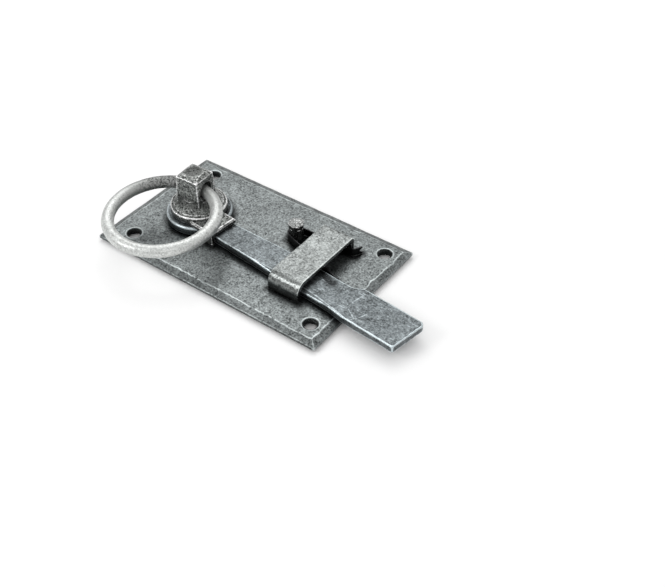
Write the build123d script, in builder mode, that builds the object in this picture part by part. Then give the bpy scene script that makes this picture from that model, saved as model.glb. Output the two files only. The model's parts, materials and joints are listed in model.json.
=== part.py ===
import os
from math import asin, atan2, cos, degrees, hypot, radians, sin, sqrt

from build123d import *

os.makedirs("parts", exist_ok=True)

# Back plate
plate_length = 152.0
plate_width = 92.0
plate_thickness = 3.5
plate_edge_height = 2.0
plate_bevel_width = 4.3

# Four fixing holes, one at each corner of a rectangle
fixing_end_margin = 13.75
fixing_side_margin = 12.0
fixing_rows_length = plate_length - 2 * fixing_end_margin
fixing_rows_width = plate_width - 2 * fixing_side_margin
fixing_centre_x = 2.25
fixing_centre_y = 0.5
fixing_hole_diameter = 6.6
fixing_sink_diameter = 8.8
fixing_sink_angle = 90.0

# Pivot of the handle and the bar, measured from the end of the plate
pivot_inset = 36.0
pivot_x = pivot_inset - plate_length / 2
pivot_y = 0.0
journal_diameter = 14.0
running_clearance = 0.05
seat_gap = 0.3

# Retaining washer in its recess at the back of the plate
washer_diameter = 22.0
washer_thickness = 1.0
washer_recess_depth = 1.9
washer_recess_margin = 1.0
peened_end_diameter = 17.0
peened_end_thickness = 0.5

# Latch bar, drawn along its own centre line, which leans to the front
bar_lean = 5.0
bar_thickness = 5.2
bar_length = 154.7
eye_diameter = 38.0
eye_rim_radius = 1.1
bar_root_station = 22.0
bar_front_at_root = 11.9
bar_front_at_flare = 12.9
bar_flare_start = 105.0
bar_flare_end = 122.0
bar_front_at_nose = 14.4
bar_back_at_root = 3.0
bar_belly_station = 62.0
bar_back_at_belly = 5.8
bar_shoulder_start = 108.0
bar_back_at_shoulder = 6.4
bar_shoulder_length = 9.0
bar_back_at_nose = 9.7
nose_corner_radius = 2.8
nose_slant = 2.4
nose_thinning = 1.0
nose_thinning_start = 60.0

# Filed facet on the front arris of the bar
facet_middle = 80.5
facet_length = 60.0
facet_depth = 1.1
facet_tilt = 35.0

# Staple over the bar, its middle measured from the pivot
staple_station = 79.95
staple_centre_x = pivot_x + staple_station
staple_width = 19.8
staple_thickness = 2.6
staple_front_y = -25.2
staple_back_y = 25.9
staple_top_z = 14.3
staple_front_bend = 6.5
staple_back_bend = 2.0
tenon_width = 12.0
rivet_spread = 0.7
rivet_spread_height = 0.9
rivet_clearance = 0.02

# Handle casting
head_turn = 3.4
head_offset_along = -0.8
head_offset_across = -0.4
head_width_top = 14.9
head_width_waist = 15.5
head_width_root = 16.4
head_waist_z = 24.0
head_root_z = 16.0
head_corner_z = 32.8
head_dome_radius = 27.0
head_facet_slope = 35.0
head_arris_radius = 0.6
collar_diameter = 32.4
collar_height = 4.6
collar_rim_radius = 0.9
skirt_diameter = 28.6
skirt_step = 0.6
skirt_neck_diameter = 18.4
skirt_height = 5.2
skirt_flare_radius = 6.0
arm_thickness = 2.9
arm_reach = 25.3
arm_front = 14.9
arm_back = 4.4
arm_bevel = 0.9
lug_start = 17.0
lug_drop_gap = 0.5
socket_width = 8.2
socket_depth = 12.0

# Pull ring through the head
ring_hole_z = 24.1
ring_centre_radius = 29.55
ring_bar_diameter = 7.1
ring_droop = 1.8
ring_clearance = 0.35
ring_mouth_ease = 0.8

# Post that holds the spring, its place measured from the pivot
post_station = 57.2
post_x = pivot_x + post_station
post_y = 16.3
post_tenon_diameter = 6.2
post_diameter = 8.3
post_shank_height = 10.4
post_head_diameter = 9.2
post_head_rim = 1.0
post_head_height = 1.8

# Hairpin spring, a strip set on edge
spring_strip_thickness = 0.7
spring_strip_width = 4.8
spring_bight_gap = 0.25
spring_touch_station = 97.0
spring_curl_radius = 3.0
spring_curl_turn = 40.0
spring_tail_overhang = 0.8
spring_tail_turn = 61.0
spring_tail_bend = 2.0
spring_tail_length = 4.2
spring_notch_depth = 2.0
spring_notch_margin = 0.5

# Heights that follow from the stack of pieces
plate_top_z = plate_thickness
bar_bottom_z = plate_top_z + seat_gap
bar_top_z = bar_bottom_z + bar_thickness
collar_bottom_z = bar_top_z + seat_gap
collar_top_z = collar_bottom_z + collar_height
washer_top_z = washer_recess_depth - seat_gap
washer_bottom_z = washer_top_z - washer_thickness
journal_end_z = washer_bottom_z - peened_end_thickness
journal_radius = journal_diameter / 2
post_head_z = plate_top_z + post_shank_height
ring_bar_radius = ring_bar_diameter / 2

# Rise of the ring's centre line over the width of the head
ring_sagitta = ring_centre_radius - sqrt(ring_centre_radius ** 2 - (head_width_waist / 2) ** 2)

# Directions of the bar and of the head, seen from above
bar_along = Vector(cos(radians(bar_lean)), -sin(radians(bar_lean)), 0)
bar_across = Vector(sin(radians(bar_lean)), cos(radians(bar_lean)), 0)
head_along = Vector(cos(radians(head_turn)), sin(radians(head_turn)), 0)
head_across = Vector(-sin(radians(head_turn)), cos(radians(head_turn)), 0)
upwards = Vector(0, 0, 1)
pivot = Vector(pivot_x, pivot_y, 0)
head_foot = pivot + head_along * head_offset_along + head_across * head_offset_across


def bar_plane(height):
    """Level plane in the bar's own directions, centred on the pivot."""
    return Plane(origin=pivot + upwards * height, x_dir=bar_along, z_dir=upwards)


def arc_on(line, radius, turn):
    """Arc that carries on from the end of a line and turns to the left."""
    ahead = line % 1
    aside = ahead.rotate(Axis.Z, 90)
    end = line @ 1 + ahead * radius * sin(radians(turn)) + aside * radius * (1 - cos(radians(turn)))
    return TangentArc(line @ 1, end, tangent=ahead)


def head_plane(height):
    """Level plane in the head's own directions, on the head's own axis."""
    return Plane(origin=head_foot + upwards * height, x_dir=head_along, z_dir=upwards)


ring_hole_centre = pivot + head_along * head_offset_along + upwards * ring_hole_z

# Places of the staple's two legs, whose tenons are spread in the plate like rivets
leg_front_y = staple_front_y + staple_thickness / 2
leg_back_y = staple_back_y - staple_thickness / 2
leg_places = [(staple_centre_x, leg_front_y), (staple_centre_x, leg_back_y)]
spread_taper = -degrees(atan2(rivet_spread, rivet_spread_height))

# Back plate, bevelled all round the top, with everything that passes through it
with BuildPart() as back_plate:
    with BuildSketch():
        Rectangle(plate_length, plate_width)
    extrude(amount=plate_edge_height)
    with BuildSketch(Plane.XY.offset(plate_edge_height)):
        Rectangle(plate_length, plate_width)
    with BuildSketch(Plane.XY.offset(plate_top_z)):
        Rectangle(plate_length - 2 * plate_bevel_width, plate_width - 2 * plate_bevel_width)
    loft(ruled=True)
    with Locations((fixing_centre_x, fixing_centre_y, plate_top_z)):
        with GridLocations(fixing_rows_length, fixing_rows_width, 2, 2):
            CounterSinkHole(fixing_hole_diameter / 2, fixing_sink_diameter / 2,
                            counter_sink_angle=fixing_sink_angle)
    with Locations((pivot_x, pivot_y, plate_top_z)):
        Hole(journal_radius + running_clearance)
    with BuildSketch():
        with Locations((pivot_x, pivot_y)):
            Circle(washer_diameter / 2 + washer_recess_margin)
    extrude(amount=washer_recess_depth, mode=Mode.SUBTRACT)
    with BuildSketch():
        with Locations(*leg_places):
            Rectangle(tenon_width + 2 * rivet_clearance, staple_thickness + 2 * rivet_clearance)
        with Locations((post_x, post_y)):
            Circle(post_tenon_diameter / 2 + rivet_clearance)
    extrude(amount=plate_top_z, mode=Mode.SUBTRACT)
    with BuildSketch(Plane.XY.offset(rivet_spread_height)):
        with Locations(*leg_places):
            Rectangle(tenon_width + 2 * rivet_clearance, staple_thickness + 2 * rivet_clearance)
        with Locations((post_x, post_y)):
            Circle(post_tenon_diameter / 2 + rivet_clearance)
    extrude(amount=-rivet_spread_height, taper=spread_taper, mode=Mode.SUBTRACT)
back_plate.part.label = "back_plate"
export_step(back_plate.part, "parts/back_plate.step")

# Staple, a bent strap whose feet stand on the plate
with BuildPart() as staple:
    with BuildSketch(Plane.YZ.offset(staple_centre_x - staple_width / 2)):
        with BuildLine():
            FilletPolyline(
                (staple_front_y, plate_top_z), (staple_front_y, staple_top_z),
                (staple_back_y, staple_top_z), (staple_back_y, plate_top_z),
                radius=(staple_front_bend, staple_back_bend))
            Line((staple_back_y, plate_top_z), (staple_back_y - staple_thickness, plate_top_z))
            FilletPolyline(
                (staple_back_y - staple_thickness, plate_top_z),
                (staple_back_y - staple_thickness, staple_top_z - staple_thickness),
                (staple_front_y + staple_thickness, staple_top_z - staple_thickness),
                (staple_front_y + staple_thickness, plate_top_z),
                radius=(max(staple_back_bend - staple_thickness, 0), staple_front_bend - staple_thickness))
            Line((staple_front_y + staple_thickness, plate_top_z), (staple_front_y, plate_top_z))
        make_face()
    extrude(amount=staple_width)
    with BuildSketch(Plane.XY.offset(plate_top_z)):
        with Locations(*leg_places):
            Rectangle(tenon_width, staple_thickness)
    extrude(amount=-plate_top_z)
    with BuildSketch(Plane.XY.offset(rivet_spread_height)):
        with Locations(*leg_places):
            Rectangle(tenon_width, staple_thickness)
    extrude(amount=-rivet_spread_height, taper=spread_taper)
staple.part.label = "staple"
export_step(staple.part, "parts/staple.step")

# Latch bar, a round eye and a shank that ends in the nose
with BuildPart() as latch_bar:
    with BuildSketch(bar_plane(bar_bottom_z)):
        Circle(eye_diameter / 2)
    extrude(amount=bar_thickness)
    rims = latch_bar.faces().sort_by(Axis.Z)
    fillet([rims[0].outer_wire().edges(), rims[-1].outer_wire().edges()], radius=eye_rim_radius)
    with BuildSketch(bar_plane(bar_bottom_z)):
        with BuildLine():
            shoulder_end = bar_shoulder_start + bar_shoulder_length
            Polyline(
                (0, -bar_front_at_root), (bar_root_station, -bar_front_at_root),
                (bar_flare_start, -bar_front_at_flare))
            Spline(
                (bar_flare_start, -bar_front_at_flare), (bar_flare_end, -bar_front_at_nose),
                tangents=[(1, 0), (1, 0)])
            Line((bar_flare_end, -bar_front_at_nose), (bar_length - nose_slant, -bar_front_at_nose))
            FilletPolyline(
                (bar_length - nose_slant, -bar_front_at_nose), (bar_length, bar_back_at_nose),
                (shoulder_end, bar_back_at_nose), radius=nose_corner_radius)
            Spline(
                (shoulder_end, bar_back_at_nose), (bar_shoulder_start, bar_back_at_shoulder),
                tangents=[(-1, 0), (-1, 0)])
            Polyline(
                (bar_shoulder_start, bar_back_at_shoulder), (bar_belly_station, bar_back_at_belly),
                (bar_root_station, bar_back_at_root), (0, bar_back_at_root), (0, -bar_front_at_root))
        make_face()
    extrude(amount=bar_thickness)
    side_plane = Plane(origin=pivot + upwards * bar_bottom_z, x_dir=bar_along, z_dir=-bar_across)
    with BuildSketch(side_plane):
        with BuildLine():
            Polyline(
                (nose_thinning_start, 0), (bar_length + nose_thinning, 0),
                (bar_length + nose_thinning, nose_thinning), (nose_thinning_start, 0))
        make_face()
    extrude(amount=eye_diameter, both=True, mode=Mode.SUBTRACT)
    with Locations(bar_plane(bar_top_z)):
        Hole(journal_radius + running_clearance)
    file_radius = facet_length ** 2 / (8 * facet_depth) + facet_depth / 2
    facet_axis = bar_across * cos(radians(facet_tilt)) + upwards * sin(radians(facet_tilt))
    facet_out = upwards * cos(radians(facet_tilt)) - bar_across * sin(radians(facet_tilt))
    arris_middle = (
        pivot + bar_along * facet_middle - bar_across * (bar_front_at_root + bar_front_at_flare) / 2
        + upwards * bar_top_z)
    file_plane = Plane(
        origin=arris_middle + facet_out * (file_radius - facet_depth), x_dir=bar_along, z_dir=facet_axis)
    with Locations(file_plane):
        Cylinder(file_radius, eye_diameter, mode=Mode.SUBTRACT)
latch_bar.part.label = "latch_bar"
export_step(latch_bar.part, "parts/latch_bar.step")

# Handle casting: square head, skirt and collar, journal, and the arm that lifts the bar
head_half = head_width_top / 2
dome_edge_drop = head_dome_radius - sqrt(head_dome_radius ** 2 - 2 * head_half ** 2)
dome_top_z = head_corner_z + dome_edge_drop
lug_inner = bar_front_at_root + seat_gap
lug_bottom_z = plate_top_z + lug_drop_gap
arm_top_z = collar_bottom_z + arm_thickness
with BuildPart() as arm:
    with BuildSketch(bar_plane(collar_bottom_z)):
        with Locations((arm_reach / 2, (arm_back - arm_front) / 2)):
            Rectangle(arm_reach, arm_back + arm_front)
    extrude(amount=arm_thickness)
    with BuildSketch(bar_plane(collar_bottom_z)):
        with Locations(((lug_start + arm_reach) / 2, -(lug_inner + arm_front) / 2)):
            Rectangle(arm_reach - lug_start, arm_front - lug_inner)
    extrude(amount=lug_bottom_z - collar_bottom_z)
    arm_top = arm.faces().sort_by(Axis.Z)[-1]
    chamfer(arm_top.edges().sort_by(Axis(pivot, bar_along))[1:], length=arm_bevel)

with BuildPart() as handle_boss:
    for width, height in (
            (head_width_root, head_root_z), (head_width_waist, head_waist_z),
            (head_width_top, head_corner_z), (head_width_top, dome_top_z)):
        with BuildSketch(head_plane(height)):
            RectangleRounded(width, width, head_arris_radius)
    loft()
    with Locations(head_plane(dome_top_z - head_dome_radius)):
        Sphere(head_dome_radius, mode=Mode.INTERSECT)
    for side in (head_along, head_across, -head_along, -head_across):
        facet_normal = upwards * cos(radians(head_facet_slope)) + side * sin(radians(head_facet_slope))
        facet_origin = head_foot + side * head_half + upwards * head_corner_z
        split(bisect_by=Plane(origin=facet_origin, z_dir=facet_normal), keep=Keep.BOTTOM)
    with BuildSketch(Plane(origin=pivot, x_dir=head_along, z_dir=-head_across)):
        with BuildLine():
            collar_radius = collar_diameter / 2
            skirt_radius = skirt_diameter / 2
            neck_radius = skirt_neck_diameter / 2
            skirt_foot_z = collar_top_z + skirt_step
            skirt_top_z = skirt_foot_z + skirt_height
            FilletPolyline(
                (0, collar_bottom_z), (collar_radius, collar_bottom_z),
                (collar_radius, collar_top_z), (skirt_radius, collar_top_z),
                radius=(collar_rim_radius, collar_rim_radius))
            Line((skirt_radius, collar_top_z), (skirt_radius, skirt_foot_z))
            RadiusArc((skirt_radius, skirt_foot_z), (neck_radius, skirt_top_z), skirt_flare_radius)
            Polyline((neck_radius, skirt_top_z), (0, skirt_top_z), (0, collar_bottom_z))
        make_face()
    revolve(axis=Axis(pivot, upwards))
    add(arm.part)
    with BuildSketch(Plane(origin=pivot, x_dir=head_along, z_dir=-head_across)):
        with BuildLine():
            Polyline(
                (0, journal_end_z), (peened_end_diameter / 2 - peened_end_thickness / 2, journal_end_z),
                (peened_end_diameter / 2, washer_bottom_z), (journal_radius, washer_bottom_z),
                (journal_radius, collar_bottom_z), (0, collar_bottom_z), (0, journal_end_z))
        make_face()
    revolve(axis=Axis(pivot, upwards))
    with BuildSketch(Plane(origin=pivot, x_dir=head_along, z_dir=upwards)):
        Rectangle(socket_width, socket_width)
    extrude(amount=socket_depth, mode=Mode.SUBTRACT)
    ring_hole_radius = ring_bar_radius + ring_sagitta + ring_clearance
    mouth_radius = ring_hole_radius + ring_mouth_ease
    mouth_face = head_width_waist / 2
    mouth_start = mouth_face - ring_mouth_ease
    hole_reach = head_half + ring_mouth_ease
    with BuildSketch(Plane(origin=ring_hole_centre, x_dir=head_along, z_dir=-head_across)):
        with BuildLine():
            Polyline((-hole_reach, 0), (-hole_reach, mouth_radius), (-mouth_face, mouth_radius))
            RadiusArc((-mouth_face, mouth_radius), (-mouth_start, ring_hole_radius), ring_mouth_ease)
            Line((-mouth_start, ring_hole_radius), (mouth_start, ring_hole_radius))
            RadiusArc((mouth_start, ring_hole_radius), (mouth_face, mouth_radius), ring_mouth_ease)
            Polyline(
                (mouth_face, mouth_radius), (hole_reach, mouth_radius), (hole_reach, 0), (-hole_reach, 0))
        make_face()
    revolve(axis=Axis(ring_hole_centre, head_along), mode=Mode.SUBTRACT)
handle_boss.part.label = "handle_boss"
export_step(handle_boss.part, "parts/handle_boss.step")

# Retaining washer, in the recess at the back of the plate
with BuildPart() as retaining_washer:
    with BuildSketch(Plane.XY.offset(washer_bottom_z)):
        with Locations((pivot_x, pivot_y)):
            Circle(washer_diameter / 2)
            Circle(journal_radius + rivet_clearance, mode=Mode.SUBTRACT)
    extrude(amount=washer_thickness)
retaining_washer.part.label = "retaining_washer"
export_step(retaining_washer.part, "parts/retaining_washer.step")

# Pull ring, a round bar bent through the hole of the head
ring_centre = (
    ring_hole_centre - upwards * ring_centre_radius * sin(radians(ring_droop))
    - head_across * ring_centre_radius * cos(radians(ring_droop)))
ring_normal = upwards * cos(radians(ring_droop)) - head_across * sin(radians(ring_droop))
with BuildPart() as pull_ring:
    with Locations(Plane(origin=ring_centre, x_dir=head_along, z_dir=ring_normal)):
        Torus(ring_centre_radius, ring_bar_radius)
pull_ring.part.label = "pull_ring"
export_step(pull_ring.part, "parts/pull_ring.step")

# Post that holds the spring, shouldered on the plate and riveted through it
tenon_radius = post_tenon_diameter / 2
post_radius = post_diameter / 2
post_head_radius = post_head_diameter / 2
post_dome_rise = post_head_height - post_head_rim
with BuildPart() as spring_post:
    with BuildSketch(Plane(origin=(post_x, post_y, 0), x_dir=(1, 0, 0), z_dir=(0, -1, 0))):
        with BuildLine():
            Polyline(
                (0, 0), (tenon_radius + rivet_spread, 0), (tenon_radius, rivet_spread_height),
                (tenon_radius, plate_top_z), (post_radius, plate_top_z),
                (post_radius, post_head_z), (post_head_radius, post_head_z),
                (post_head_radius, post_head_z + post_head_rim))
            dome_radius = (post_head_radius ** 2 + post_dome_rise ** 2) / (2 * post_dome_rise)
            RadiusArc(
                (post_head_radius, post_head_z + post_head_rim), (0, post_head_z + post_head_height),
                -dome_radius)
            Line((0, post_head_z + post_head_height), (0, 0))
        make_face()
    revolve(axis=Axis((post_x, post_y, 0), (0, 0, 1)))
spring_post.part.label = "spring_post"
export_step(spring_post.part, "parts/spring_post.step")

# Hairpin spring: the bight goes round the post, the front leaf presses on the bar
# and the back leaf leans on the back leg of the staple
bight_radius = post_radius + spring_bight_gap + spring_strip_thickness / 2
touch_share = (spring_touch_station - bar_belly_station) / (bar_shoulder_start - bar_belly_station)
bar_back_at_touch = bar_back_at_belly + touch_share * (bar_back_at_shoulder - bar_back_at_belly)
tip = (
    pivot + bar_along * spring_touch_station
    + bar_across * (bar_back_at_touch + seat_gap + spring_strip_thickness / 2))
tip_dx = tip.X - post_x
tip_dy = tip.Y - post_y
leaf_angle = degrees(atan2(tip_dy, tip_dx) + asin(bight_radius / hypot(tip_dx, tip_dy)))
bight_end_angle = leaf_angle - 90
bight_end = (
    post_x + bight_radius * cos(radians(bight_end_angle)),
    post_y + bight_radius * sin(radians(bight_end_angle)))
tail_start_x = staple_centre_x + staple_width / 2 + spring_tail_overhang
tail_start_y = staple_back_y - staple_thickness - seat_gap - spring_strip_thickness / 2
tail_dx = tail_start_x - post_x
tail_dy = tail_start_y - post_y
back_leaf_angle = degrees(atan2(tail_dy, tail_dx) - asin(bight_radius / hypot(tail_dx, tail_dy)))
bight_start_angle = back_leaf_angle + 90
bight_start = (
    post_x + bight_radius * cos(radians(bight_start_angle)),
    post_y + bight_radius * sin(radians(bight_start_angle)))
with BuildPart() as hairpin_spring:
    with BuildSketch(Plane.XY.offset(bar_bottom_z)):
        with BuildLine():
            back_leaf = Line(bight_start, (tail_start_x, tail_start_y))
            tail_bend = arc_on(back_leaf, spring_tail_bend, spring_tail_turn)
            tail = PolarLine(tail_bend @ 1, spring_tail_length, direction=tail_bend % 1)
            CenterArc(
                (post_x, post_y), bight_radius, bight_start_angle, 360 + bight_end_angle - bight_start_angle)
            front_leaf = Line(bight_end, (tip.X, tip.Y))
            arc_on(front_leaf, spring_curl_radius, spring_curl_turn)
        trace(line_width=spring_strip_thickness)
    extrude(amount=spring_strip_width)
    tail_ahead = tail % 1
    tail_end = tail @ 1 + upwards * bar_bottom_z
    with BuildSketch(Plane(origin=tail_end, x_dir=tail_ahead, z_dir=tail_ahead.cross(upwards))):
        with BuildLine():
            Polyline(
                (spring_notch_margin, spring_notch_margin), (-spring_notch_depth, spring_strip_width / 2),
                (spring_notch_margin, spring_strip_width - spring_notch_margin),
                (spring_notch_margin, spring_notch_margin))
        make_face()
    extrude(amount=spring_strip_thickness, both=True, mode=Mode.SUBTRACT)
hairpin_spring.part.label = "hairpin_spring"
export_step(hairpin_spring.part, "parts/hairpin_spring.step")
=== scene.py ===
# %% [markdown]
# A rim latch with a hand-forged look. The packed model gives every piece at its real size and place, in
# metres. This lesson dresses it. Each visible piece gets a worked copy of its mesh, with eased arrises and
# hammer marks, and every piece gets a finish made of procedural nodes. A white table, three soft lamps and
# a camera complete the picture.

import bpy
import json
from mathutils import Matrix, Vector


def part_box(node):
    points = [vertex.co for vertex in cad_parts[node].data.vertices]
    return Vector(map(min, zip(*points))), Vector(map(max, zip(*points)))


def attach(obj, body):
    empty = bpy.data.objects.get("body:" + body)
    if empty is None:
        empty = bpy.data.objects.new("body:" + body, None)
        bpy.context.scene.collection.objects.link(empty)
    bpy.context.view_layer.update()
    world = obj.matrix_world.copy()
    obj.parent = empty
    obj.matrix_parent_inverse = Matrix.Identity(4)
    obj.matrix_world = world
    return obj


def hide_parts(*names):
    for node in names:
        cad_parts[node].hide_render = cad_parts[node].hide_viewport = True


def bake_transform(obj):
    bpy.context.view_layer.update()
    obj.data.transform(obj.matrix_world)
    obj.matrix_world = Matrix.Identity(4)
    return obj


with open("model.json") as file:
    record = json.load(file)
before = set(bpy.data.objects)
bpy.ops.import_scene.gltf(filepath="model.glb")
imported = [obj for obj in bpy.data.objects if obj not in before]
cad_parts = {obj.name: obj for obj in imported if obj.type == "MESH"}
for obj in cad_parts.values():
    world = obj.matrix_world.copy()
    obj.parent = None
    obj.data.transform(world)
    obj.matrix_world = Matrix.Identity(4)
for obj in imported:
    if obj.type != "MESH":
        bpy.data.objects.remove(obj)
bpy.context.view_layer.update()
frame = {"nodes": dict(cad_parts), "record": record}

import json
from math import cos, radians, sin

import bmesh
import bpy
from mathutils import Matrix, Vector

MM = 0.001
scene = bpy.context.scene
scene.view_settings.view_transform = "Standard"
record = frame["record"]
print("nodes:", sorted(frame["nodes"]))

# %% [markdown]
# The camera looks at the latch from 36 degrees to the right of its front and from 43 degrees up. Angle,
# distance and lens were found together, by fitting the four corners of the back plate to the photograph,
# so that the perspective agrees too. A longer lens from further away would show the plate too parallel.

# %% Camera
CAMERA_AZIMUTH = radians(36.1)
CAMERA_HEIGHT_ANGLE = radians(42.74)
CAMERA_DISTANCE = 532 * MM
CAMERA_TARGET = Vector((58, -5.5, 0)) * MM
PICTURE_WIDTH = 665
FOCAL_LENGTH_IN_PIXELS = 1000
SENSOR_WIDTH = 36

towards_camera = Vector((
    sin(CAMERA_AZIMUTH) * cos(CAMERA_HEIGHT_ANGLE),
    -cos(CAMERA_AZIMUTH) * cos(CAMERA_HEIGHT_ANGLE),
    sin(CAMERA_HEIGHT_ANGLE)))
camera_data = bpy.data.cameras.new("camera")
camera_data.sensor_width = SENSOR_WIDTH
camera_data.lens = SENSOR_WIDTH * FOCAL_LENGTH_IN_PIXELS / PICTURE_WIDTH
camera_data.clip_start = 10 * MM
camera = bpy.data.objects.new("camera", camera_data)
camera.location = CAMERA_TARGET + towards_camera * CAMERA_DISTANCE
camera.rotation_euler = (-towards_camera).to_track_quat("-Z", "Y").to_euler()
scene.collection.objects.link(camera)
scene.camera = camera
print("lens in mm:", round(camera_data.lens, 2))

# %% [markdown]
# Node maths reads best as ordinary sums. The class Wire holds one output socket, and each of its operators
# adds the Math node that does the sum. A number may stand on either side, which is what the reflected
# operators are for.

# %% Sums of sockets


class Wire:
    """One output socket, with Python's operators standing for Math nodes."""

    def __init__(self, nodes, socket):
        self.nodes = nodes
        self.socket = socket

    def _sum(self, operation, left, right=0.0):
        return self.nodes.add("ShaderNodeMath", {"operation": operation}, {0: left, 1: right})

    def __add__(self, other):
        return self._sum("ADD", self, other)

    def __radd__(self, other):
        return self._sum("ADD", other, self)

    def __sub__(self, other):
        return self._sum("SUBTRACT", self, other)

    def __rsub__(self, other):
        return self._sum("SUBTRACT", other, self)

    def __mul__(self, other):
        return self._sum("MULTIPLY", self, other)

    def __rmul__(self, other):
        return self._sum("MULTIPLY", other, self)

    def __truediv__(self, other):
        return self._sum("DIVIDE", self, other)

    def __rtruediv__(self, other):
        return self._sum("DIVIDE", other, self)

    def power(self, exponent):
        return self._sum("POWER", self, exponent)

    def at_least(self, other):
        return self._sum("MAXIMUM", self, other)

    def size(self):
        return self._sum("ABSOLUTE", self)

    def steps(self, low, high):
        """0 below low, 1 above high, smooth between them."""
        return self.nodes.add("ShaderNodeMapRange", {"interpolation_type": "SMOOTHSTEP"},
                              {"Value": self, "From Min": low, "From Max": high})


print("sums:", ", ".join(name for name in vars(Wire) if not name.startswith("_")))

# %% [markdown]
# Every other node comes from one method. It takes the node's type, then its settings, then its sockets,
# by name or by number. A socket's value may be a plain value or a Wire. The same class serves shaders, the
# world and geometry nodes.

# %% Any other node


class Nodes:
    """A node tree that starts empty."""

    def __init__(self, tree):
        self.tree = tree
        tree.nodes.clear()

    def add(self, kind, settings=None, sockets=None, output=0):
        """Add a node and return one of its outputs. A node without outputs returns nothing."""
        node = self.tree.nodes.new(kind)
        for name, value in (settings or {}).items():
            setattr(node, name, value)
        for name, value in (sockets or {}).items():
            if isinstance(value, Wire):
                self.tree.links.new(value.socket, node.inputs[name])
            else:
                node.inputs[name].default_value = value
        if node.outputs:
            return Wire(self, node.outputs[output])

    def mix(self, share, first, second):
        """Colour first where share is 0, second where it is 1."""
        return self.add("ShaderNodeMix", {"data_type": "RGBA"}, {0: share, 6: first, 7: second}, output=2)


def grey(level):
    """A grey of that level, as a colour."""
    return (level, level, level, 1)


print("mid grey:", grey(0.5))

# %% [markdown]
# Forged and cast pieces have no dead straight arris. Each visible piece is therefore worked over: its mesh
# is cut into an even skin of small facets, which eases every arris a little, and is then dented as if by a
# hammer. A displaced copy could also be modelled by hand, but a node group does all pieces alike and keeps
# every number in sight. The group's inputs are what a smith would decide for each piece.

# %% The hammer's inputs
HAMMER_INPUTS = {
    "Geometry": "Geometry", "Dent Depth": "Float", "Dent Size": "Float", "Seed": "Float",
    "Still Below": "Float", "Reach": "Float", "Blur Steps": "Int", "Neighbours": "Object",
    "Finish": "Material"}

hammer = bpy.data.node_groups.new("hammer", "GeometryNodeTree")
for label, kind in HAMMER_INPUTS.items():
    hammer.interface.new_socket(label, in_out="INPUT", socket_type="NodeSocket" + kind)
hammer.interface.new_socket("Geometry", in_out="OUTPUT", socket_type="NodeSocketGeometry")
h = Nodes(hammer)
given = {socket.name: Wire(h, socket) for socket in hammer.nodes.new("NodeGroupInput").outputs if socket.name}
print("hammer inputs:", list(given))

# %% [markdown]
# The dents follow a noise, and they only go inwards. So nothing grows past the packed sizes, and the pieces
# still pass each other when the latch moves. Below a chosen height the mesh stays still, which keeps a flat
# foot flat.

# %% Dents
DENT_NOISE_LOW = 0.36
DENT_NOISE_HIGH = 0.64

place = h.add("GeometryNodeInputPosition")
normal = h.add("GeometryNodeInputNormal")
height = h.add("ShaderNodeSeparateXYZ", None, {0: place}, output="Z")
dents = h.add("ShaderNodeTexNoise", {"noise_dimensions": "4D"}, {
    "Vector": place, "W": given["Seed"], "Scale": 1 / given["Dent Size"], "Detail": 2.0, "Roughness": 0.5})
inwards = dents.steps(DENT_NOISE_LOW, DENT_NOISE_HIGH) * given["Dent Depth"] * -1.0
moving = h.add("FunctionNodeCompare", {"operation": "GREATER_THAN"}, {"A": height, "B": given["Still Below"]})
offset = h.add("ShaderNodeVectorMath", {"operation": "SCALE"}, {0: normal, "Scale": inwards})
worked = h.add("GeometryNodeSetPosition", None,
               {"Geometry": given["Geometry"], "Selection": moving, "Offset": offset})
print("nodes for the dents:", len(hammer.nodes))

# %% [markdown]
# A worn finish depends on the shape: high ground is rubbed, hollows keep their dirt, and gaps between pieces
# are painted darker, for their dirt and for the shade that falls there. So the group writes three facts on
# each point. "high_ground" is how far the point stands out from the average of the points around it,
# "faces_up" is how level the surface lies, and "neighbour_mm" is how near the next piece is. Facts on the
# mesh survive an export, which a camera trick in the shader would not.

# %% Facts for the finish


def noted(geometry, name, value):
    """Write a value on each point under that name."""
    return h.add("GeometryNodeStoreNamedAttribute", {"data_type": "FLOAT"},
                 {"Geometry": geometry, "Name": name, "Value": value})


around = h.add("GeometryNodeBlurAttribute", {"data_type": "FLOAT_VECTOR"},
               {"Value": place, "Iterations": given["Blur Steps"]})
apart = h.add("ShaderNodeVectorMath", {"operation": "SUBTRACT"}, {0: place, 1: around})
standing_out = h.add("ShaderNodeVectorMath", {"operation": "DOT_PRODUCT"}, {0: apart, 1: normal},
                     output="Value")
level = h.add("ShaderNodeSeparateXYZ", None, {0: normal}, output="Z")
others = h.add("GeometryNodeObjectInfo", {"transform_space": "ORIGINAL"}, {"Object": given["Neighbours"]},
               output="Geometry")
gap = h.add("GeometryNodeProximity", {"target_element": "FACES"}, {0: others}, output="Distance")

worked = noted(worked, "high_ground", standing_out / given["Reach"])
worked = noted(worked, "faces_up", level)
worked = noted(worked, "neighbour_mm", gap / MM)
worked = h.add("GeometryNodeRealizeInstances", None, {"Geometry": worked})
worked = h.add("GeometryNodeSetMaterial", None, {"Geometry": worked, "Material": given["Finish"]})
h.add("NodeGroupOutput", None, {"Geometry": worked})
print("nodes in the hammer:", len(hammer.nodes))

# %% [markdown]
# The finish is pewter on steel: the steel was blackened, then rubbed back. The class Skin is the node tree
# of one such finish. It measures in millimetres on the piece itself, and it holds the three noises that all
# the wear shares: clouds of a centimetre, patches of a few millimetres and a grain of one millimetre.

# %% The skin of a piece
CLOUD_MM = 16
PATCH_MM = 4.0
GRAIN_MM = 1.05


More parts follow.
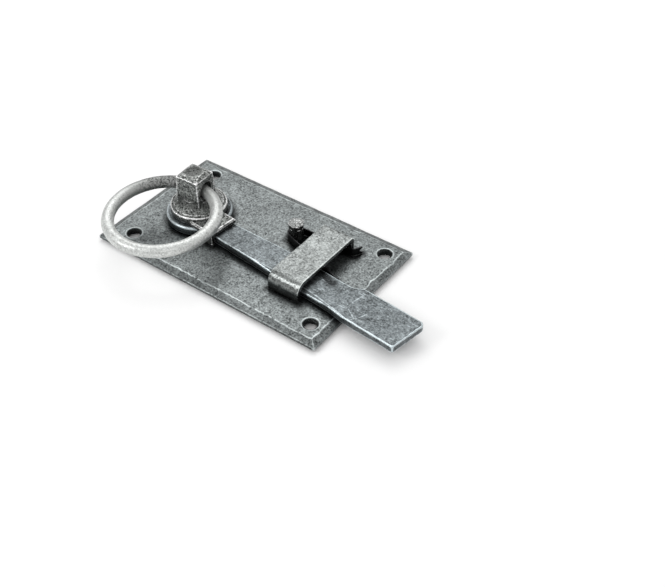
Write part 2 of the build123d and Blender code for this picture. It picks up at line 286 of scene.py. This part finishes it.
class Skin(Nodes):
    """The node tree of a finish, with its places in millimetres."""

    def __init__(self, tree):
        super().__init__(tree)
        self.place = self.add("ShaderNodeTexCoord", output="Object")
        self.clouds = self.noise(CLOUD_MM, 4.0, 0.6)
        self.patches = self.noise(PATCH_MM, 3.0, 0.6)
        self.grain = self.noise(GRAIN_MM, 2.0, 0.7)

    def noise(self, size_mm, detail, rough, at=None):
        """A soft noise with lumps of that size."""
        return self.add("ShaderNodeTexNoise", None, {
            "Vector": at or self.place, "Scale": 1 / (size_mm * MM), "Detail": detail, "Roughness": rough})

    def fact(self, name):
        """A value that the hammer wrote on the piece."""
        return self.add("ShaderNodeAttribute", {"attribute_name": name}, output="Fac")

    def local(self, x_mm, y_mm, angle_deg=0.0):
        """Millimetres along and across a mark, seen from above."""
        moved = self.add("ShaderNodeMapping", {"vector_type": "TEXTURE"}, {
            "Vector": self.place, "Location": (x_mm * MM, y_mm * MM, 0),
            "Rotation": (0, 0, radians(angle_deg)), "Scale": (MM, MM, MM)})
        return [self.add("ShaderNodeSeparateXYZ", None, {0: moved}, output=axis) for axis in "XY"]

    def from_middle(self, x_mm, y_mm):
        """Millimetres from the middle of a round mark, seen from above."""
        along, across = self.local(x_mm, y_mm)
        return (along * along + across * across).power(0.5)


print("noise sizes in mm:", CLOUD_MM, PATCH_MM, GRAIN_MM)

# %% [markdown]
# Acid and rust leave small round pits in groups. A Voronoi texture gives the single pits, and a coarser
# noise chooses where a group is. Its starting value says how many groups there are.

# %% Pits
PIT_SPACING = 1.5 * MM
PIT_GROUP_MM = 2.8
PIT_GROUP_FADE = 0.11


def pits_on(skin, size, start):
    """1 in the pits, 0 between them. A lower start gives more of them."""
    pits = skin.add("ShaderNodeTexVoronoi", {"feature": "F1"},
                    {"Vector": skin.place, "Scale": 1 / (PIT_SPACING * size), "Randomness": 1.0})
    groups = skin.noise(PIT_GROUP_MM * size, 2.0, 0.6)
    return (1 - pits.steps(0.12, 0.46)) * groups.steps(start, start + PIT_GROUP_FADE)


print("pit spacing in mm:", PIT_SPACING / MM)

# %% [markdown]
# Two kinds of scratches: a haze of fine ones, which is a noise stretched twenty times along one direction,
# and single cuts, each with its own place. The nose of the bar shows three such cuts.

# %% Scratches
HAZE_STRETCH = 0.05
HAZE_MM = 0.5
HAZE_FADE = 0.08
CUT_FADE_MM = 2


def scratch_haze(skin, angle_deg, start):
    """Fine scratches along one direction."""
    turned = skin.add("ShaderNodeMapping", {"vector_type": "POINT"}, {
        "Vector": skin.place, "Rotation": (0, 0, radians(angle_deg)), "Scale": (HAZE_STRETCH, 1.0, 1.0)})
    return skin.noise(HAZE_MM, 2.0, 0.7, at=turned).steps(start, start + HAZE_FADE)


def cut(skin, x_mm, y_mm, angle_deg, half_length_mm):
    """One straight scratch that fades towards its ends."""
    along, across = skin.local(x_mm, y_mm, angle_deg)
    thin = 1 - across.size().steps(0.12, 0.42)
    return thin * (1 - along.size().steps(half_length_mm - CUT_FADE_MM, half_length_mm))


def scratches_on(skin, cuts):
    """All scratches of a piece."""
    haze = (scratch_haze(skin, 38, 0.60) + scratch_haze(skin, -27, 0.62)) * skin.patches.steps(0.42, 0.56)
    return sum((cut(skin, *mark) for mark in cuts), haze)


nose_cuts = [(76.9, -8.2, 79, 5.6), (80.1, -20.0, -34, 4.6), (85.9, -18.3, 65, 4.8)]
print("cuts on the nose:", len(nose_cuts))

# %% [markdown]
# The back plate carries three marks of its own: faint rings where something round once pressed on it, screw
# holes painted dark as painted shade, with a pale stoned rim, and a pale line where the bevels were ground.
# The line wanders a little, since a bevel ground by hand is never straight, and at each corner a mitre runs
# out to the edge.

# %% Marks of the plate
RIM_WIDTH_MM = 0.3
RIM_STRENGTH = 0.65
LINE_STRENGTH = 0.75
MITRE_STRENGTH = 0.7
LINE_WANDER_MM = 3.2
LINE_WANDER_SIZE_MM = 7.0


def rings_on(skin, rings):
    """Faint rings, each with a middle and a radius."""
    return sum(1 - (skin.from_middle(x_mm, y_mm) - radius_mm).size().steps(0.2, 0.9)
               for x_mm, y_mm, radius_mm in rings)


def holes_on(skin, holes):
    """Painted shade in the holes, and their pale rims."""
    inside = rims = 0
    for x_mm, y_mm, radius_mm in holes:
        middle = skin.from_middle(x_mm, y_mm)
        # Each hole is painted dark: painted shade.
        inside = inside + (1 - middle.steps(radius_mm - 0.5, radius_mm))
        rims = rims + RIM_STRENGTH * (1 - (middle - (radius_mm + RIM_WIDTH_MM)).size().steps(0.1, 0.5))
    return inside, rims


def bevel_line(skin, half_length_mm, half_width_mm):
    """The line where the bevels meet the flat of the plate."""
    along, across = skin.local(0, 0)
    past_length = along.size() - half_length_mm
    past_width = across.size() - half_width_mm
    wander = LINE_WANDER_MM * (skin.noise(LINE_WANDER_SIZE_MM, 2.0, 0.6) - 0.5)
    line = 1 - (past_length.at_least(past_width) + wander).size().steps(0.12, 0.55)
    mitre = 1 - (past_length - past_width).size().steps(0.1, 0.5)
    past_corner = past_length.steps(-0.1, 0.4) * past_width.steps(-0.1, 0.4)
    return LINE_STRENGTH * line * skin.patches.steps(0.30, 0.46) + MITRE_STRENGTH * mitre * past_corner


# The noise stays mostly within 0.2 of its middle, so the line wanders by a fifth of the full amount.
print("the bevel line wanders by mm:", round(0.2 * LINE_WANDER_MM, 2))

# %% [markdown]
# Soot stays where no cloth reaches: round the foot of the head and in the hollow of its top. The same layers
# paint the dark band on the staple's front leg, which is painted shade, and the dark root of the ring, which
# is soot with a painted dark reflection. A layer is a soft disc seen from above, kept between two heights.

# %% Soot
SOOT_AND_SHADE_FADE_BELOW_MM = 0.5
SOOT_AND_SHADE_FADE_ABOVE_MM = 1.5


def soot_and_shade_on(skin, layers):
    """Soot and painted shade, from layers of (x, y, inner radius, outer radius, lowest, highest, strength).
    """
    height = skin.add("ShaderNodeSeparateXYZ", None, {0: skin.place}, output="Z")
    soot = 0
    for x_mm, y_mm, inner, outer, lowest, highest, strength in layers:
        above = height.steps((lowest - SOOT_AND_SHADE_FADE_BELOW_MM) * MM, lowest * MM)
        beyond = height.steps(highest * MM, (highest + SOOT_AND_SHADE_FADE_ABOVE_MM) * MM)
        soot = soot + strength * (above - beyond) * (1 - skin.from_middle(x_mm, y_mm).steps(inner, outer))
    return soot


print("a layer of soot fades over mm:", SOOT_AND_SHADE_FADE_BELOW_MM, SOOT_AND_SHADE_FADE_ABOVE_MM)

# %% [markdown]
# All finishes share one recipe and differ in these values. They mostly run from 0 to 1. Each piece below
# names only what differs from this plain look.

# %% The plain look
PLAIN_LOOK = {
    "pits": 0.5,        # how dark and deep the pits are
    "pit_size": 1.0,    # their size
    "pit_from": 0.47,   # a lower value gives more groups of pits
    "grain": 0.5,       # light and dark grain
    "cloud": 0.35,      # light and dark clouds
    "bumps": 0.3,       # height of the fine relief
    "scratches": 0.3,   # how bright the scratches are
    "wear": 0.8,        # pale metal on high ground
    "sides": 0.75,      # upright sides darker: black left unrubbed, and painted shade
    "hollow": 0.8,      # dark metal in hollows
    "grime": 1.0,       # darker beside a neighbouring piece: dirt, and painted shade
    "metal": 0.9,       # how metallic it is
    "roughness": 0.36,  # how dull it is
}
print("values of a look:", len(PLAIN_LOOK))

# %% [markdown]
# First the marks are gathered. An edge shines where the ground is high or where a stone has passed, and it
# shines less beside a neighbour, in a hole or under soot and painted shade. Beside a neighbour the metal is
# painted darker, for dirt and for the shade between parts. The stoned lines belong to the top face only.

# %% Gather the marks
EDGE_STARTS = 0.30
EDGE_FULL = 0.85
GRIME_AND_SHADE_FULL_MM = 0.2
GRIME_AND_SHADE_REACH_MM = 4.5


def marks_on(skin, look, cuts, rings, holes, bevel, soot):
    """Every mark of a piece as a share from 0 to about 1."""
    inside, stoned = holes_on(skin, holes)
    if bevel:
        stoned = stoned + bevel_line(skin, *bevel)
    faces_up = skin.fact("faces_up")
    on_top = faces_up.steps(0.0, 0.3)
    high = skin.fact("high_ground")
    # Near a neighbouring piece the metal is painted darker, for dirt and for the shade that falls between
    # parts.
    crevice = 1 - skin.fact("neighbour_mm").steps(GRIME_AND_SHADE_FULL_MM, GRIME_AND_SHADE_REACH_MM)
    sooted_and_shaded = soot_and_shade_on(skin, soot)
    edge = high.steps(EDGE_STARTS, EDGE_FULL).at_least(stoned * on_top) * (0.45 + 1.3 * skin.patches)
    return {
        "pits": pits_on(skin, look["pit_size"], look["pit_from"]),
        "scratches": scratches_on(skin, cuts) * on_top,
        "rings": rings_on(skin, rings),
        "inside": inside,
        "edge": edge * (1 - 0.5 * crevice) * (1 - inside) * (1 - 0.85 * sooted_and_shaded),
        "sunk": (0 - high).steps(0.25, 1.0),
        "upright": 1 - faces_up.steps(0.25, 0.75),
        "crevice": crevice * (0.5 + skin.patches),
        "soot": sooted_and_shaded * (skin.patches + 0.5 * skin.grain.steps(0.46, 0.56)),
    }


print("grime reaches round a neighbour over mm:", GRIME_AND_SHADE_REACH_MM)

# %% [markdown]
# The colour is laid on like paint, from the ground up: plain metal with upright sides darker, partly the
# black left unrubbed and partly painted shade, then pits, then dirt with painted shade beside neighbours and
# in the holes, then scratches, then clouds and grain, and last the pale rubbed arrises. Each layer is a Mix
# node with a mark as its share. All the greys come from one colour, so a piece keeps its own tint.

# %% Layers of colour
DARK = 0.10
SHADE = 0.24
BRIGHT = 2.3
BRIGHT_LIMIT = 0.75
PALE = 4.0
PALE_LIMIT = 0.92
PAINTED_HOLE_SHADE = 0.93
RING_DARKNESS = 0.16
LOWEST_TONE = 0.2


def tinted(colour, factor, limit=1.0):
    """The same tint, darker or lighter, up to a limit."""
    return (*(min(channel * factor, limit) for channel in colour), 1)


def colour_of(skin, colour, look, marks):
    """The colour of the metal at each point."""
    dark = tinted(colour, DARK)
    # Upright sides are made darker here: partly the black that no cloth rubbed off, partly painted shade.
    plain = skin.mix(look["sides"] * marks["upright"], tinted(colour, 1), tinted(colour, SHADE))
    pitted = skin.mix(look["pits"] * marks["pits"], plain, dark)
    # This dark layer is partly dirt and partly painted shade: beside neighbours, in the holes, on the staple
    # leg and at the ring's root.
    dirt_and_shade = (look["hollow"] * marks["sunk"]).at_least(look["grime"] * marks["crevice"])
    dirt_and_shade = dirt_and_shade.at_least(PAINTED_HOLE_SHADE * marks["inside"]).at_least(marks["soot"])
    dirty_and_shaded = skin.mix(dirt_and_shade, pitted, dark)
    scratched = skin.mix(look["scratches"] * marks["scratches"], dirty_and_shaded, tinted(colour, BRIGHT, BRIGHT_LIMIT))
    tone = (1 + look["cloud"] * (3.0 * (skin.clouds - 0.5) + 2.6 * (skin.patches - 0.5))
            + look["grain"] * 3.4 * (skin.grain - 0.5) - RING_DARKNESS * marks["rings"])
    toned = skin.add("ShaderNodeVectorMath", {"operation": "SCALE"},
                     {0: scratched, "Scale": tone.at_least(LOWEST_TONE)})
    return skin.mix(look["wear"] * marks["edge"], toned, tinted(colour, PALE, PALE_LIMIT))


print("dark and pale of grey 0.2:", tinted(grey(0.2)[:3], DARK), tinted(grey(0.2)[:3], PALE, PALE_LIMIT))

# %% [markdown]
# Pits and dirt are dull, rubbed arrises are smoother, and pits are also a little lower than the rest. Colour,
# dullness and relief come from the same marks, so the wear reads as one thing. The relief is only a bump, for
# marks far smaller than a facet. The dents above are real geometry.

# %% Relief and dullness
RELIEF_DEPTH = 0.5 * MM
SMOOTHEST = 0.12


def relief_of(skin, look, marks):
    """The fine relief, as a bent normal."""
    bumps = look["bumps"]
    relief = (skin.patches * (0.35 * bumps) + skin.grain * (0.22 * bumps)
              - marks["pits"] * (look["pits"] * (0.22 + 0.15 * bumps)))
    return skin.add("ShaderNodeBump", None, {"Height": relief, "Strength": 1.0, "Distance": RELIEF_DEPTH})


def roughness_of(skin, look, marks):
    """How dull each point is."""
    rough = (look["roughness"] + 0.25 * (skin.patches - 0.5) + 0.22 * look["pits"] * marks["pits"]
             - 0.08 * look["wear"] * marks["edge"] + 0.3 * marks["inside"])
    return rough.at_least(SMOOTHEST)


print("relief in mm:", RELIEF_DEPTH / MM, "lowest roughness:", SMOOTHEST)

# %% [markdown]
# The function pewter puts it all on one Principled shader. A metal with a little less than full metallic
# value keeps some of its own colour in the shade, as blackened steel does.

# %% The pewter finish


def new_material(name):
    """A material with its nodes switched on."""
    material = bpy.data.materials.new(name)
    material.use_nodes = True
    return material


def pewter(name, colour, cuts=(), rings=(), holes=(), bevel=None, soot=(), **changes):
    """Blackened and rubbed steel of that colour, with the marks and the changes of one piece."""
    look = {**PLAIN_LOOK, **changes}
    material = new_material(name)
    skin = Skin(material.node_tree)
    marks = marks_on(skin, look, cuts, rings, holes, bevel, soot)
    shader = skin.add("ShaderNodeBsdfPrincipled", None, {
        "Base Color": colour_of(skin, colour, look, marks), "Metallic": look["metal"],
        "Roughness": roughness_of(skin, look, marks), "Normal": relief_of(skin, look, marks)})
    skin.add("ShaderNodeOutputMaterial", None, {"Surface": shader})
    return material


finishes = {}
print("a finish has", len(PLAIN_LOOK), "values and 5 kinds of marks")

# %% [markdown]
# The plate and the bar are the large flat pieces. The plate is a mid grey with an even grain. Its holes and
# its edge come from the packed model, so the paint stays on them. The bar is a little darker and bluer, and
# more scratched, since it slides.

# %% Plate and bar
COUNTERSINK_WIDTH_MM = 1.15
BEVEL_WIDTH_MM = 4.3
PLATE_RINGS = [(-33.9, 33.6, 4.6), (11.0, 38.0, 4.6)]

plate_half_length_mm, plate_half_width_mm = [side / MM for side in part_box("back_plate")[1][:2]]
bolts = next(mount for mount in record["mounts"] if mount["name"] == "fixing_holes")
middle_x_mm, middle_y_mm = [place / MM for place in bolts["pos_m"][:2]]
half_x_mm, half_y_mm = bolts["dims"]["spacing_x_mm"] / 2, bolts["dims"]["spacing_y_mm"] / 2
hole_radius_mm = bolts["dims"]["hole_r_mm"] + COUNTERSINK_WIDTH_MM
fixing_holes = [(middle_x_mm + x * half_x_mm, middle_y_mm + y * half_y_mm, hole_radius_mm)
                for x in (-1, 1) for y in (-1, 1)]

finishes["back_plate"] = pewter(
    "pewter_plate", (0.172, 0.187, 0.187), pits=0.6, grain=1.0, wear=0.6, holes=fixing_holes,
    rings=PLATE_RINGS,
    bevel=(plate_half_length_mm - BEVEL_WIDTH_MM, plate_half_width_mm - BEVEL_WIDTH_MM))
finishes["latch_bar"] = pewter(
    "pewter_bar", (0.138, 0.154, 0.160), pits=0.3, grain=1.0, wear=0.95, scratches=0.9, sides=0.2,
    cuts=nose_cuts)
print("holes at mm:", [(round(x, 2), round(y, 2)) for x, y, _ in fixing_holes])

# %% [markdown]
# The staple is paler and smoother than the plate: a strap that was bent and then polished on top. A dark band
# of painted shade lies on its front leg. The boss is a casting, with coarse pits, a strong relief and soot
# round the foot of its head and in the hollow of its top.

# %% Staple and boss
# A dark band of painted shade on the staple's front leg.
STAPLE_LEG_PAINTED_SHADE = (40, -24, 12.0, 16.0, 5.0, 7.6, 1.3)
HEAD_FOOT_SOOT = (-40, 0, 10.0, 13.5, 0, 20.5, 0.8)
HEAD_TOP_SOOT = (-41, -0.6, 3.4, 6.2, 32, 60, 0.8)

finishes["staple"] = pewter(
    "pewter_staple", (0.215, 0.228, 0.224), pits=0.3, grain=1.0, wear=0.9, roughness=0.27, sides=0.35,
    soot=[STAPLE_LEG_PAINTED_SHADE])
finishes["handle_boss"] = pewter(
    "pewter_casting", (0.235, 0.245, 0.236), pits=1.0, pit_from=0.34, grain=1.7, wear=0.85, sides=0.0,
    bumps=2.2, metal=0.85, roughness=0.28, soot=[HEAD_FOOT_SOOT, HEAD_TOP_SOOT])
print("shader nodes of the boss:", len(finishes["handle_boss"].node_tree.nodes))

# %% [markdown]
# The small pieces. The ring is what the hand touches, so it is rubbed almost white and only dark near the
# head, where soot and a painted dark reflection lie. The post's hammered head is bright over a dark neck,
# which is partly black left unrubbed and partly painted shade under the head. The spring stays black, with
# worn arrises. The washer is hidden in the back of the plate and gets a plain look.

# %% Ring, post, spring and washer
# Near the head the ring is darkened: soot, and a painted dark reflection.
RING_ROOT_SOOT_AND_REFLECTION = (-55, 3, 11, 46, 0, 60, 1.0)

finishes["pull_ring"] = pewter(
    "rubbed_ring", (0.62, 0.635, 0.62), pits=0.3, grain=0.4, cloud=0.12, bumps=0.10, scratches=0.15, wear=0.0,
    sides=0.0, hollow=0.0, grime=0.6, metal=0.88, roughness=0.46, soot=[RING_ROOT_SOOT_AND_REFLECTION])
finishes["retaining_washer"] = pewter("pewter_washer", (0.2, 0.21, 0.21), pits=0.4, sides=0.0, grime=0.0)
# The post's neck is painted dark: black left unrubbed, and painted shade under the head.
finishes["spring_post"] = pewter(
    "rubbed_rivet", (0.33, 0.34, 0.335), pits=1.0, pit_size=0.6, pit_from=0.4, bumps=1.6, wear=1.0, sides=1.0,
    hollow=1.0, grime=0.4, roughness=0.26)
finishes["hairpin_spring"] = pewter(
    "black_spring", (0.024, 0.024, 0.025), pits=0.2, bumps=0.1, wear=1.0, sides=0.4, grime=0.0,
    roughness=0.30)

for node, finish in finishes.items():
    mesh = frame["nodes"][node].data
    mesh.materials.clear()
    mesh.materials.append(finish)
print("finishes:", len(finishes))

# %% [markdown]
# To know how near its neighbours are, a piece is measured against one loose object that holds all the others.
# The ring is left out, since it hangs free and would paint dirt and shade on the head wherever it rests.

# %% Neighbours
body_of = {node: body for body, nodes in record["behaviour"]["bodies"].items() for node in nodes}


def neighbours_of(node):
    """One loose object with the packed meshes of the other pieces."""
    together = bmesh.new()
    for other in finishes:
        if other not in (node, "pull_ring"):
            together.from_mesh(frame["nodes"][other].data)
    mesh = bpy.data.meshes.new("neighbours")
    together.to_mesh(mesh)
    together.free()
    neighbours = bpy.data.objects.new("neighbours", mesh)
    scene.collection.objects.link(neighbours)
    return neighbours


print("bodies:", sorted(set(body_of.values())))

# %% [markdown]
# Remesh cuts a piece along a fixed grid. A piece that lies askew would come out with stairs on its faces, so
# it is turned to lie along the grid first and turned back at the end. Packed meshes also have split vertices
# along their sharp arrises, and these are sewn together, or the skin would have open seams.

# %% An even skin


def even_skin(node, facet_mm, turn_deg):
    """A loose copy of a packed piece, turned and set to be cut into small facets of one size."""
    mesh = frame["nodes"][node].data.copy()
    sewn = bmesh.new()
    sewn.from_mesh(mesh)
    bmesh.ops.remove_doubles(sewn, verts=sewn.verts, dist=0.001 * MM)
    sewn.to_mesh(mesh)
    sewn.free()
    mesh.transform(Matrix.Rotation(radians(turn_deg), 4, "Z"))
    piece = bpy.data.objects.new(node + "_forged", mesh)
    scene.collection.objects.link(piece)
    facets = piece.modifiers.new("even facets", "REMESH")
    facets.mode = "VOXEL"
    facets.voxel_size = facet_mm * MM
    easer = piece.modifiers.new("eased arrises", "SMOOTH")
    easer.factor = 0.5
    easer.iterations = 1
    return piece


print("pieces to work over:", len(finishes) - 1)

# %% [markdown]
# Now the whole treatment of one piece. The hammer's inputs are set by the identifiers of its sockets. Then
# the result is fixed as a plain mesh, and the piece takes the place of its packed node and moves with its
# body. A piece that bends is only set in place and follows no body.

# %% Forge a piece


def blur_steps(edge_mm, facet_mm):
    """How often to blur so that an average reaches over an edge. Its reach grows with the square root."""
    return round(2 * (edge_mm / facet_mm) ** 2)


def forged(node, facet_mm, dent_mm, dent_size_mm, seed, edge_mm, reach_mm, still_below_mm=-1.0, turn_deg=0.0,
           bend=None):
    """Replace a packed piece by a worked copy. Its worn edges are edge_mm wide, less for a larger reach."""
    piece = even_skin(node, facet_mm, turn_deg)
    neighbours = neighbours_of(node)
    wanted = {
        "Dent Depth": dent_mm * MM, "Dent Size": dent_size_mm * MM, "Seed": float(seed),
        "Still Below": still_below_mm * MM, "Reach": reach_mm * MM,
        "Blur Steps": blur_steps(edge_mm, facet_mm), "Neighbours": neighbours, "Finish": finishes[node]}
    blows = piece.modifiers.new("hammer blows", "NODES")
    blows.node_group = hammer
    for item in hammer.interface.items_tree:
        if item.name in wanted:
            blows[item.identifier] = wanted[item.name]
    bpy.context.view_layer.update()
    mesh = bpy.data.meshes.new_from_object(piece.evaluated_get(bpy.context.evaluated_depsgraph_get()))
    mesh.transform(Matrix.Rotation(radians(-turn_deg), 4, "Z"))
    mesh.shade_smooth()
    piece.modifiers.clear()
    piece.data = mesh
    bpy.data.objects.remove(neighbours)
    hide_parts(node)
    if bend:
        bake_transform(piece)
    else:
        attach(piece, body_of[node])
    print(node, "facets:", len(mesh.polygons))


print("blur steps for an edge of 0.8 mm and facets of 0.4 mm:", blur_steps(0.8, 0.4))

# %% [markdown]
# The plate and the bar come from the smith: wide, shallow dents. The plate's foot stays still, so that it
# lies flat on the door. The bar is turned by 5 degrees, as its nose lies askew in the latch.

# %% Forge the plate and the bar
forged("back_plate", facet_mm=0.65, dent_mm=0.10, dent_size_mm=9.0, seed=1, edge_mm=0.8, reach_mm=0.34,
       still_below_mm=0.6)
forged("latch_bar", facet_mm=0.42, dent_mm=0.10, dent_size_mm=8.0, seed=2, edge_mm=0.75, reach_mm=0.125,
       turn_deg=5.0)

# %% [markdown]
# The staple's feet stay still too, where they enter the plate. The boss was cast, so its dents are small,
# like sand marks. Its head stands askew by 3.4 degrees. The ring has long, gentle dents.

# %% Forge the staple, the boss and the ring
forged("staple", facet_mm=0.35, dent_mm=0.10, dent_size_mm=7.0, seed=3, edge_mm=0.6, reach_mm=0.2,
       still_below_mm=3.6)
forged("handle_boss", facet_mm=0.3, dent_mm=0.12, dent_size_mm=3.2, seed=4, edge_mm=0.75, reach_mm=0.15,
       turn_deg=-3.4)
forged("pull_ring", facet_mm=0.4, dent_mm=0.08, dent_size_mm=7.0, seed=5, edge_mm=0.8, reach_mm=0.3)

# %% [markdown]
# The post is a rivet, and only its head was hammered, with small deep blows. The spring is rolled strip
# without dents. Its front leaf has to stay on the bar's back when the bar lifts. Here the spring is only set
# in place, and the points beside the post and at the leaf's tip are passed along but not used.

# %% Forge the post and the spring
BEND_START = Vector((14.0, 12.3, 6.2)) * MM
BEND_END = Vector((17.3, -2.3, 6.2)) * MM

forged("spring_post", facet_mm=0.22, dent_mm=0.35, dent_size_mm=1.9, seed=6, edge_mm=0.4, reach_mm=0.15,
       still_below_mm=12.0)
forged("hairpin_spring", facet_mm=0.2, dent_mm=0.0, dent_size_mm=3.0, seed=7, edge_mm=0.35, reach_mm=0.09,
       bend=("plate", "bar", BEND_START, BEND_END))

# %% [markdown]
# The latch lies on a white table. The table lies a little below the plate, which gives the thin dark line of
# shadow round a hand-made plate that isn't quite flat. What shows through the screw holes is the table in
# this narrow gap. A second, greyer sheet under the plate paints the shade there.

# %% Table
FLOOR_DROP = 1.2 * MM
FLOOR_HALF_SIZE = 1.5
SHADE_SHEET_LIFT = 0.1 * MM
SHADE_SHEET_INSET_MM = 5
SHADE_SHEET_GREY = 0.8


def stage_sheet(name, half_length, half_width, height, material):
    """A level sheet that belongs to the picture and not to the latch."""
    corners = [(x * half_length, y * half_width, height) for x, y in ((-1, -1), (1, -1), (1, 1), (-1, 1))]
    mesh = bpy.data.meshes.new(name)
    mesh.from_pydata(corners, [], [(0, 1, 2, 3)])
    mesh.materials.append(material)
    sheet = bpy.data.objects.new(name, mesh)
    scene.collection.objects.link(sheet)


floor_material = new_material("white_floor")
shade_sheet_material = new_material("gap_sheet")
stage_sheet("floor", FLOOR_HALF_SIZE, FLOOR_HALF_SIZE, -FLOOR_DROP, floor_material)
# A grey sheet under the plate is painted shade, seen through the screw holes.
stage_sheet("gap_sheet", (plate_half_length_mm - SHADE_SHEET_INSET_MM) * MM,
            (plate_half_width_mm - SHADE_SHEET_INSET_MM) * MM, SHADE_SHEET_LIFT - FLOOR_DROP, shade_sheet_material)
n = Nodes(shade_sheet_material.node_tree)
n.add("ShaderNodeOutputMaterial", None,
      {"Surface": n.add("ShaderNodeBsdfDiffuse", None, {"Color": grey(SHADE_SHEET_GREY)})})
print("the plate stands above the floor by mm:", FLOOR_DROP / MM)

# %% [markdown]
# A matt white floor never renders quite white, so it also glows a little, but only for rays that come
# straight from the camera, a mirror or glass. The soft light that it throws back stays that of a matt floor,
# and near the latch the glow is so weak that the shadow stays. Far away it is full, which keeps the horizon
# white in a low view.

# %% White floor
FLOOR_GREY = 0.97
GLOW_STRENGTH = 1.5
GLOW_SHARE_NEAR = 0.03
GLOW_STARTS = 0.3
GLOW_FULL = 0.8

n = Nodes(floor_material.node_tree)
matt = n.add("ShaderNodeBsdfDiffuse", None, {"Color": grey(FLOOR_GREY)})
glow = n.add("ShaderNodeEmission", None, {"Color": grey(1.0), "Strength": GLOW_STRENGTH})
from_latch = n.add("ShaderNodeVectorMath", {"operation": "LENGTH"},
                   {0: n.add("ShaderNodeTexCoord", output="Object")}, output="Value")
share = from_latch.steps(GLOW_STARTS, GLOW_FULL).at_least(GLOW_SHARE_NEAR)
camera_ray, glossy_ray, glass_ray = [
    n.add("ShaderNodeLightPath", output="Is " + ray + " Ray") for ray in ("Camera", "Glossy", "Transmission")]
seen_directly = camera_ray.at_least(glossy_ray).at_least(glass_ray)
lit = n.add("ShaderNodeMixShader", None, {0: seen_directly * share, 1: matt, 2: glow})
n.add("ShaderNodeOutputMaterial", None, {"Surface": lit})
print("floor nodes:", len(floor_material.node_tree.nodes))

# %% [markdown]
# The world is a plain pale room, brighter above than at the sides, so that upright faces are darker than
# level ones. The camera itself sees pure white, which shows only above the horizon of a low view.

# %% World
WORLD_HIGH = 0.85
WORLD_LOW = 0.55

world = bpy.data.worlds.new("studio")
world.use_nodes = True
scene.world = world
n = Nodes(world.node_tree)
direction = n.add("ShaderNodeTexCoord", output="Generated")
upwards = n.add("ShaderNodeSeparateXYZ", None, {0: direction}, output="Z")
level = WORLD_LOW + (WORLD_HIGH - WORLD_LOW) * upwards.steps(0.05, 0.8)
camera_ray = n.add("ShaderNodeLightPath", output="Is Camera Ray")
sky = n.add("ShaderNodeBackground", None, {"Color": grey(1.0), "Strength": level + camera_ray * (1 - level)})
n.add("ShaderNodeOutputWorld", None, {"Surface": sky})
print("world from", WORLD_LOW, "to", WORLD_HIGH)

# %% [markdown]
# Three soft boxes light the latch. The key is large and stands behind and above, which puts a pale sheen on
# the level faces and leaves the faces towards the camera dark. The fill is weak and stands in front. The
# strip on the left catches the bend of the staple and the front of the ring.

# %% Lamps
LAMP_AIM = Vector((10, 0, 5)) * MM


def soft_box(name, place_mm, size_mm, watts):
    """A square lamp that is aimed at the latch."""
    lamp = bpy.data.lights.new(name, "AREA")
    lamp.size = size_mm * MM
    lamp.energy = watts
    lamp_object = bpy.data.objects.new(name, lamp)
    lamp_object.location = Vector(place_mm) * MM
    aim = LAMP_AIM - lamp_object.location
    lamp_object.rotation_euler = aim.to_track_quat("-Z", "Y").to_euler()
    scene.collection.objects.link(lamp_object)
    print(name, "at mm:", round(aim.length / MM))


soft_box("key", (-560, 700, 1200), size_mm=1100, watts=5.5)
soft_box("fill", (500, -500, 500), size_mm=500, watts=0.35)
soft_box("front strip", (-390, -600, 520), size_mm=330, watts=1.5)

# %% [markdown]
# Last, the end. The dressed latch has to stay within the packed one, since its dents only go inwards.

# %% The end
print("done")
